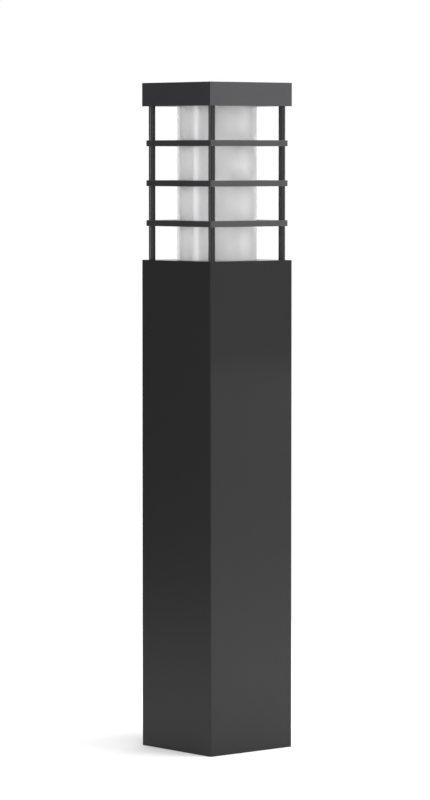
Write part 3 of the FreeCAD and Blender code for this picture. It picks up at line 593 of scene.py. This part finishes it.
sink = flat_cone("sink", HEAD_RADIUS + HOLE_GAP, SHANK_RADIUS + HOLE_GAP, HEAD_DEPTH, 3 * WALL)
screw_low, screw_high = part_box("post_screws")
post_screw = flat_screw(POST_SCREW_LENGTH)
side = screw_high.x - HEAD_RADIUS
screw_height = (screw_low.z + screw_high.z) / 2
to_back = Matrix.Rotation(math.radians(-90), 4, "X")
to_left = Matrix.Rotation(math.radians(-90), 4, "Y")
places = []
for offset in (-side, side):
    places.append((Vector((offset, post_half, screw_height)), to_back))
    places.append((Vector((-post_half, offset, screw_height)), to_left))
print(len(places), "screw places, the first at", [round(v, 3) for v in places[0][0]])

# %% Sink the post's holes and set its screws
for place, turn in places:
    cut_with(post, copy_at(sink, "sink_copy", place, turn))
soften(post, POST_EDGE)
smooth(post)
place_piece(post, post_coat, "post", "post_tube")
screws = join([copy_at(post_screw, "post_screw", *place) for place in places], "post_screws_flat")
bpy.data.objects.remove(post_screw)
smooth(screws)
place_piece(screws, stainless, "post", "post_screws")

# %% [markdown]
# ## The rings
# Each ring is an open square frame of flat aluminium bar, threaded over the four tie rods. The
# light comes out between the rings, and the bars shade the lamp from the side.
# One frame is made like the post, drilled, and its edges are broken all round as a file would do.
# The other two are copies, so all three are sure to match.

# %% Make one ring and copy it
RING_BAR = 13 * MM
RING_EDGE = 0.7 * MM
ring_names = ["lower_ring", "middle_ring", "upper_ring"]
ring_low, ring_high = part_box(ring_names[0])
ring = hollow_square("ring", ring_low, ring_high, RING_BAR, CORNER_RADIUS)
drill(ring, ROD_RADIUS + HOLE_GAP, ring_low.z - MM, ring_high.z + MM)
soften(ring, RING_EDGE, segments=3)
smooth(ring)
for name in ring_names:
    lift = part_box(name)[0].z - ring_low.z
    frame_copy = copy_at(ring, name + "_frame", Vector((0, 0, lift)))
    place_piece(frame_copy, head_sheen_coat, "post", name)
bpy.data.objects.remove(ring)

# %% [markdown]
# ## The spacer tubes
# Short round tubes stand on the corners between the rings and set the gaps. There are sixteen of
# them, all the same, in four levels.
# A cylinder is inset and bridged to make the bore, its ends are broken, and it is copied to the
# corners. The four of a level become one piece, as they are one group in the CAD.

# %% Make one spacer tube and copy it
SPACER_EDGE = 0.3 * MM


def hollow_round(name, outer, inner, low, high, sides=64):
    """A tube at the origin: inset both ends of a cylinder and bridge them."""
    piece = add_round(name, outer, low, high, sides=sides)
    pick(piece, "FACE", is_level)
    bpy.ops.mesh.inset(thickness=outer - inner)
    bpy.ops.mesh.bridge_edge_loops()
    deselect()
    return piece


spacer = hollow_round("spacer", SPACER_RADIUS, ROD_RADIUS + HOLE_GAP, spacer_low.z, spacer_high.z)
soften(spacer, SPACER_EDGE)
for level in range(1, 5):
    node = "spacer_tubes_%d" % level
    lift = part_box(node)[0].z - spacer_low.z
    tubes = [copy_at(spacer, "tube", Vector((x * rod_at, y * rod_at, lift))) for x, y in CORNERS]
    tubes = join(tubes, node + "_round")
    smooth(tubes)
    place_piece(tubes, spacer_painted_shade_coat, "post", node)
bpy.data.objects.remove(spacer)

# %% [markdown]
# ## The cap
# The cap is a shallow square lid. Its skirt hides the carrier plate, and its flat top has four
# countersunk holes for the screws that hold it down.
# The underside of a cube is inset by the wall and pushed up, which leaves a lid of even
# thickness. The outer arrises are rounded a little, as sheet metal is after folding and filing.

# %% Shape the cap and its screws
CAP_EDGE = 0.5 * MM
cap = add_block("cap", cap_low, cap_high)
pick(cap, "FACE", lambda face: face.normal.z < -NEARLY_ONE)
bpy.ops.mesh.inset(thickness=WALL)
skirt_depth = cap_high.z - cap_low.z - WALL
bpy.ops.mesh.extrude_region_move(TRANSFORM_OT_translate={"value": (0, 0, skirt_depth)})
pick(cap, "EDGE", lambda edge: at_outside(edge, cap_high.x))
bpy.ops.mesh.bevel(offset=CORNER_RADIUS, segments=5, affect="EDGES")
cap_screw_low, cap_screw_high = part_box("cap_screws")
pillar_at = cap_screw_high.x - HEAD_RADIUS
cap_places = [Vector((x * pillar_at, y * pillar_at, cap_high.z)) for x, y in CORNERS]
for place in cap_places:
    cut_with(cap, copy_at(sink, "sink_copy", place))
bpy.data.objects.remove(sink)
soften(cap, CAP_EDGE, segments=3)
smooth(cap)
place_piece(cap, head_sheen_coat, "cap", "cap_shell")
cap_screw = flat_screw(cap_screw_high.z - cap_screw_low.z)
screws = join([copy_at(cap_screw, "cap_screw", place) for place in cap_places], "cap_screws_flat")
bpy.data.objects.remove(cap_screw)
smooth(screws)
place_piece(screws, stainless, "cap", "cap_screws")

# %% [markdown]
# ## The opal tube
# The diffuser is a plain acrylic tube that stands in a groove at each end.
# It is a cylinder with no end faces, given its wall by a Solidify modifier. The rims are
# rounded so that they catch a thin line of light.

# %% Make the opal tube
RING_TO_TUBE = 2.5 * MM
TUBE_RIM = 0.4 * MM
tube_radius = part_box("upper_ring")[1].x - RING_BAR - RING_TO_TUBE
bpy.ops.mesh.primitive_cylinder_add(
    vertices=192, radius=tube_radius, depth=tube_high.z - tube_low.z,
    location=(0, 0, (tube_low.z + tube_high.z) / 2), end_fill_type="NOTHING",
)
tube = apply_place(bpy.context.object)
tube.name = "opal_tube"
use_modifier(tube, "SOLIDIFY", thickness=WALL, offset=-1)
soften(tube, TUBE_RIM, angle=60)
smooth(tube)
place_piece(tube, opal, "post", "diffuser")

# %% [markdown]
# ## Turned pieces
# The lamp's globe and housing, the tie rods and the barrels that shape the nuts are round, so
# each is a half outline spun about the upright axis. A plane is reduced to one point, the point
# is extruded along the outline, and the Spin operator sweeps it. The seam's double points are
# merged afterwards, the edge that a line along the axis leaves is dropped as loose, and the
# normals are worked out again, because a spin can turn a shape inside out.

# %% A lathe
def lathe(name, outline, steps):
    """Spin a closed outline of (radius, height) points about the Z axis."""
    deselect()
    bpy.ops.mesh.primitive_plane_add(size=MM, location=(0, 0, 0))
    piece = bpy.context.object
    piece.name = name
    bpy.ops.object.mode_set(mode="EDIT")
    bpy.ops.mesh.select_mode(type="VERT")
    on_all_points(bpy.ops.mesh.merge, type="CENTER")
    first = Vector((outline[0][0], 0, outline[0][1]))
    bpy.ops.transform.translate(value=first)
    for (r0, z0), (r1, z1) in zip(outline, outline[1:] + outline[:1]):
        step = (r1 - r0, 0, z1 - z0)
        bpy.ops.mesh.extrude_vertices_move(TRANSFORM_OT_translate={"value": step})
    on_all_points(bpy.ops.mesh.remove_doubles, threshold=DOUBLE)
    around_z = {"angle": math.tau, "center": (0, 0, 0), "axis": (0, 0, 1)}
    on_all_points(bpy.ops.mesh.spin, steps=steps, **around_z)
    on_all_points(bpy.ops.mesh.remove_doubles, threshold=DOUBLE)
    on_all_points(bpy.ops.mesh.delete_loose)
    on_all_points(bpy.ops.mesh.normals_make_consistent, inside=False)
    deselect()
    return piece


def arc(radius, centre, start, end, count):
    """Points along an arc, as (radius, height); the angles are from level, in degrees."""
    points = []
    for i in range(count + 1):
        turn = math.radians(start + (end - start) * i / count)
        points.append((max(0.0, radius * math.cos(turn)), centre + radius * math.sin(turn)))
    return points


# %% [markdown]
# ## The lamp
# A screw-in lamp stands in the tube: a frosted globe on a white finned housing. It shows when
# the cap is off. The globe is a thin shell, so its outline runs up the outside and back down
# inside. The housing's cooling fins are grooves that repeat round its waist.

# %% Turn the globe and the housing
LAMP_WALL = 1.2 * MM
GLOBE_RADIUS = 30 * MM
NECK = 14 * MM
WAIST_HEIGHT = 8 * MM
STEP_OUT = 2 * MM
RIM_WIDTH, RIM_HEIGHT = 3 * MM, 2 * MM
FIN_EDGE = 0.15 * MM
FINS = 6
FIN_DEPTH = 1.2
FIN_OUTLINE = ((0.15, 0), (0.3, FIN_DEPTH), (0.7, FIN_DEPTH), (0.85, 0))
globe_low, globe_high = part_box("lamp_globe")
house_low, house_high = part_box("lamp_housing")
inner_radius = GLOBE_RADIUS - LAMP_WALL
centre = globe_high.z - GLOBE_RADIUS
seam_angle = -math.degrees(math.asin((centre - globe_low.z) / GLOBE_RADIUS))
inner_angle = -math.degrees(math.asin((centre - globe_low.z) / inner_radius))
outside = arc(GLOBE_RADIUS, centre, seam_angle, 90, 28)
inside = arc(inner_radius, centre, 90, inner_angle, 28)
globe = lathe("lamp_globe_shell", outside + inside, 72)
smooth(globe, 50)
place_piece(globe, globe_opal, "lamp", "lamp_globe")

waist = house_low.z + WAIST_HEIGHT
narrow, wide = NECK + STEP_OUT, GLOBE_RADIUS - STEP_OUT
rim_low, rim = house_high.z - RIM_HEIGHT, wide - RIM_WIDTH
fins_high = rim_low - MM
outline = [(NECK - LAMP_WALL, house_low.z), (NECK, house_low.z), (narrow, waist)]
for i in range(FINS):
    for share, inset in FIN_OUTLINE:
        step = (i + share) / FINS
        radius = narrow + (wide - narrow) * step
        outline.append((radius - inset * MM, waist + (fins_high - waist) * step))
outline += [(wide, rim_low), (wide, house_high.z), (rim, house_high.z), (rim, rim_low)]
outline += [(narrow - 2 * LAMP_WALL, waist + 2 * LAMP_WALL)]
outline += [(NECK - LAMP_WALL, waist - WAIST_HEIGHT / 2)]
housing = lathe("lamp_housing_finned", outline, 72)
soften(housing, FIN_EDGE, angle=30)
smooth(housing)
place_piece(housing, white_plastic, "lamp", "lamp_housing")

# %% [markdown]
# ## The carrier plate
# A square plate lies on the spacers and closes the lamp head. The opal tube fits a groove in its
# underside, and the lamp is changed through the round opening, so its edge is well rounded.
# A block is cut with a cylinder for the opening and with a short pipe for the groove.

# %% Make the carrier plate
OPENING_RADIUS = 53.5 * MM
GROOVE_INNER, GROOVE_OUTER = 56.5 * MM, 60.5 * MM
PLATE_CORNER = MM
PLATE_EDGE = 0.5 * MM
plate_low, plate_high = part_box("carrier_plate")
groove_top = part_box("upper_diffuser_seal")[1].z
plate = add_block("carrier_plate_flat", plate_low, plate_high)
pick(plate, "EDGE", lambda edge: at_outside(edge, plate_high.x))
bpy.ops.mesh.bevel(offset=PLATE_CORNER, segments=3, affect="EDGES")
cut_low, cut_high = plate_low.z - MM, plate_high.z + MM
cut_with(plate, add_round("opening", OPENING_RADIUS, cut_low, cut_high, sides=128))
cut_with(plate, hollow_round("groove", GROOVE_OUTER, GROOVE_INNER, cut_low, groove_top, 128))
drill(plate, ROD_RADIUS + HOLE_GAP, cut_low, cut_high)
soften(plate, PLATE_EDGE, segments=3)
smooth(plate)
place_piece(plate, head_sheen_coat, "post", "carrier_plate")

# %% [markdown]
# ## Rods, washers, nuts and pillars
# Four steel rods clamp the whole stack between the post and the nuts on the carrier plate. Only
# their threaded tips show, with the cap off. Beside them stand the hexagon pillars that take the
# cap screws. Each is made once at the origin and copied to its four places.
# A nut's corners are cut back by a cone on a real nut, so the hexagon is intersected with a
# turned barrel. The thread is drawn as rings, which looks the same at this size.

# %% Helpers for hexagons and copies
THREAD_DEPTH = 0.45 * MM
THREAD_PITCH = MM
FACE_SHARE = 0.48
HEXAGON_EDGE = 0.1 * MM
thirty_degrees = Matrix.Rotation(math.radians(30), 4, "Z")


def hexagon(name, across_flats, low, high, bore, bore_low):
    """A chamfered hexagon with a bore from the top, its corners along X."""
    corner = across_flats / math.sqrt(3)
    drop = corner - across_flats / 2
    face = across_flats * FACE_SHARE
    bar = add_round(name, corner, low, high, sides=6)
    shape = [(0, low), (face, low), (corner, low + drop), (corner, high - drop)]
    cut_with(bar, lathe("barrel", shape + [(face, high), (0, high)], 48), "INTERSECT")
    cut_with(bar, add_round("bore", bore, bore_low, high + MM, sides=32))
    soften(bar, HEXAGON_EDGE, angle=25)
    return bar


def four_of(piece, node, at, finish, turn=None):
    """Copy a piece to four corners, join the copies, and place them for a node."""
    copies = [copy_at(piece, node, Vector((x * at, y * at, 0)), turn) for x, y in CORNERS]
    group = join(copies, node + "_set")
    bpy.data.objects.remove(piece)
    smooth(group)
    place_piece(group, finish, "post", node)


# %% Make the clamping parts
ROD_TIP = 0.6 * MM
NUT_FLATS = 10 * MM
WASHER_RADIUS = 6 * MM
WASHER_EDGE = 0.2 * MM
rods_low, rods_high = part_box("tie_rods")
nut_low, nut_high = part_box("rod_nuts")
washer_low, washer_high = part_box("rod_washers")
narrowed = ROD_RADIUS - ROD_TIP
outline = [(0, rods_low.z), (narrowed, rods_low.z), (ROD_RADIUS, rods_low.z + ROD_TIP)]
level = nut_high.z
while level + THREAD_PITCH < rods_high.z:
    outline += [(ROD_RADIUS, level), (ROD_RADIUS - THREAD_DEPTH, level + THREAD_PITCH / 2)]
    level += THREAD_PITCH
outline += [(ROD_RADIUS, level), (narrowed, rods_high.z), (0, rods_high.z)]
four_of(lathe("tie_rod", outline, 32), "tie_rods", rod_at, stainless)
nut = hexagon("nut", NUT_FLATS, nut_low.z, nut_high.z, ROD_RADIUS, nut_low.z - MM)
four_of(nut, "rod_nuts", rod_at, stainless, thirty_degrees)
washer_bore = ROD_RADIUS + HOLE_GAP
washer = hollow_round("washer", WASHER_RADIUS, washer_bore, washer_low.z, washer_high.z, 48)
soften(washer, WASHER_EDGE)
four_of(washer, "rod_washers", rod_at, zinc)

# %% Make the cap's pillars
PILLAR_FLATS = 8 * MM
pillar_low, pillar_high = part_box("cap_pillars")
bore_low = cap_screw_low.z - MM
pillar = hexagon("pillar", PILLAR_FLATS, pillar_low.z, pillar_high.z, SHANK_RADIUS, bore_low)
four_of(pillar, "cap_pillars", pillar_at, zinc, thirty_degrees)

# %% [markdown]
# ## Floor and world
# Satin paint shows what stands around it, so the surroundings matter as much as the lamps.
# A pale floor disc lights the foot of the post. It is thin, so that its rim doesn't show. The
# world is even, with a dark patch in front of the left face and a weaker one behind the camera,
# a bright one behind the left face that draws the rods' edges, and less light from below. Each
# patch has an azimuth, the cosine at which it starts, and the change in brightness.
# The camera itself sees plain white, through the Is Camera Ray output of the Light Path node.

# %% Lay the floor
FLOOR_RADIUS = 1.7
FLOOR_AZIMUTH, FLOOR_SHIFT = 130, 0.4
FLOOR_DEPTH = 0.2 * MM
middle = direction(FLOOR_AZIMUTH) * FLOOR_SHIFT - Vector((0, 0, FLOOR_DEPTH / 2))
bpy.ops.mesh.primitive_cylinder_add(
    vertices=128, radius=FLOOR_RADIUS, depth=FLOOR_DEPTH, location=middle
)
floor = apply_place(bpy.context.object)
floor.name = "studio_floor"
floor_white = new_finish("floor_white", (0.86, 0.86, 0.86), 0.8)
floor.data.materials.append(floor_white)
print("floor", 2 * FLOOR_RADIUS, "m across")

# %% Set the world
WORLD_LEVEL = 0.90
BELOW_SHARE = 0.35
HORIZON = (-0.2, 0.02)
PATCH_CORE = 0.97
PATCHES = {
    "front_left": (-50, 0.72, -0.76),
    "back_left": (-110, 0.72, 0.5),
    "behind_camera": (50, 0.86, -0.35),
}

world = bpy.data.worlds.new("studio_world")
scene.world = world
world.use_nodes = True
world.node_tree.nodes.clear()


def mapped(value, low, high, to_low, to_high):
    """A value mapped smoothly from one range to another."""
    inputs = {"Value": value, "From Min": low, "From Max": high}
    inputs.update({"To Min": to_low, "To Max": to_high})
    node = add_node(world, "ShaderNodeMapRange", inputs, interpolation_type="SMOOTHSTEP")
    return node.outputs["Result"]


def combined(operation, first, second):
    """Two values combined by a Math node."""
    return add_node(world, "ShaderNodeMath", {0: first, 1: second}, operation=operation).outputs[0]


ray = add_node(world, "ShaderNodeTexCoord").outputs["Generated"]
around = WORLD_LEVEL
for azimuth, edge, change in PATCHES.values():
    inputs = {0: ray, 1: direction(azimuth)}
    toward = add_node(world, "ShaderNodeVectorMath", inputs, operation="DOT_PRODUCT")
    toward = toward.outputs["Value"]
    around = combined("ADD", around, mapped(toward, edge, PATCH_CORE, 0.0, change))
height = add_node(world, "ShaderNodeSeparateXYZ", {"Vector": ray}).outputs["Z"]
strength = combined("MULTIPLY", around, mapped(height, *HORIZON, BELOW_SHARE, 1.0))
white = (1, 1, 1, 1)
studio = add_node(world, "ShaderNodeBackground", {"Color": white, "Strength": strength})
paper = add_node(world, "ShaderNodeBackground", {"Color": white, "Strength": 1.0})
seen = add_node(world, "ShaderNodeLightPath").outputs["Is Camera Ray"]
inputs = {0: seen, 1: studio.outputs[0], 2: paper.outputs[0]}
either = add_node(world, "ShaderNodeMixShader", inputs)
add_node(world, "ShaderNodeOutputWorld", {"Surface": either.outputs[0]})
print("world level", WORLD_LEVEL, "with", len(PATCHES), "patches")

# %% [markdown]
# ## Soft boxes
# A tall soft box beyond the right face gives it its sheen. One in front on the left draws the
# bright upright streak on the opal tube, because a round tube squeezes a box into a line, and the
# box's angle decides where the line falls. A wide one on the right and a weak one between them
# fill in the rest of the tube. One hangs overhead for the floor, and one low on the right
# brightens the patch of floor that the foot of the right face mirrors.
# Each box stands at an azimuth and a distance, with a height, a width, a tallness, a power in
# watts, and the height on the post's axis that it faces. The low box lies flat, facing the floor.
# The Standard view transform shows the plain white paper as plain white.

# %% Hang the soft boxes
def soft_box(name, azimuth, distance, height, width, tall, power, aim):
    """An area light that stands at an azimuth and faces a height on the post's axis."""
    place = direction(azimuth) * distance + Vector((0, 0, height))
    bpy.ops.object.light_add(type="AREA", location=place)
    box = bpy.context.object
    box.name = name
    box.rotation_euler = (Vector((0, 0, aim)) - place).to_track_quat("-Z", "Y").to_euler()
    box.data.shape = "RECTANGLE"
    box.data.size, box.data.size_y = width, tall
    box.data.energy = power
    box.visible_camera = False
    return box


soft_box("right_box", 130.5, 2.4, 1.3, 0.7, 2.2, 3.3, 1.3)
soft_box("left_streak_box", -12, 3.0, 0.9, 0.9, 2.2, 34, 0.75)
soft_box("right_streak_box", 76, 3.0, 1.1, 2.2, 2.0, 15, 0.75)
soft_box("left_fill_box", 20, 3.0, 1.1, 1.2, 2.0, 4, 0.75)
soft_box("overhead_box", 130, 1.0, 3.0, 2.4, 2.4, 60, 0.0)
floor_box = soft_box("floor_box", FLOOR_AZIMUTH, 0.95, 0.6, 1.2, 0.8, 11, 0.6)
floor_box.rotation_euler = (0, 0, math.radians(FLOOR_AZIMUTH))
scene.view_settings.view_transform = "Standard"
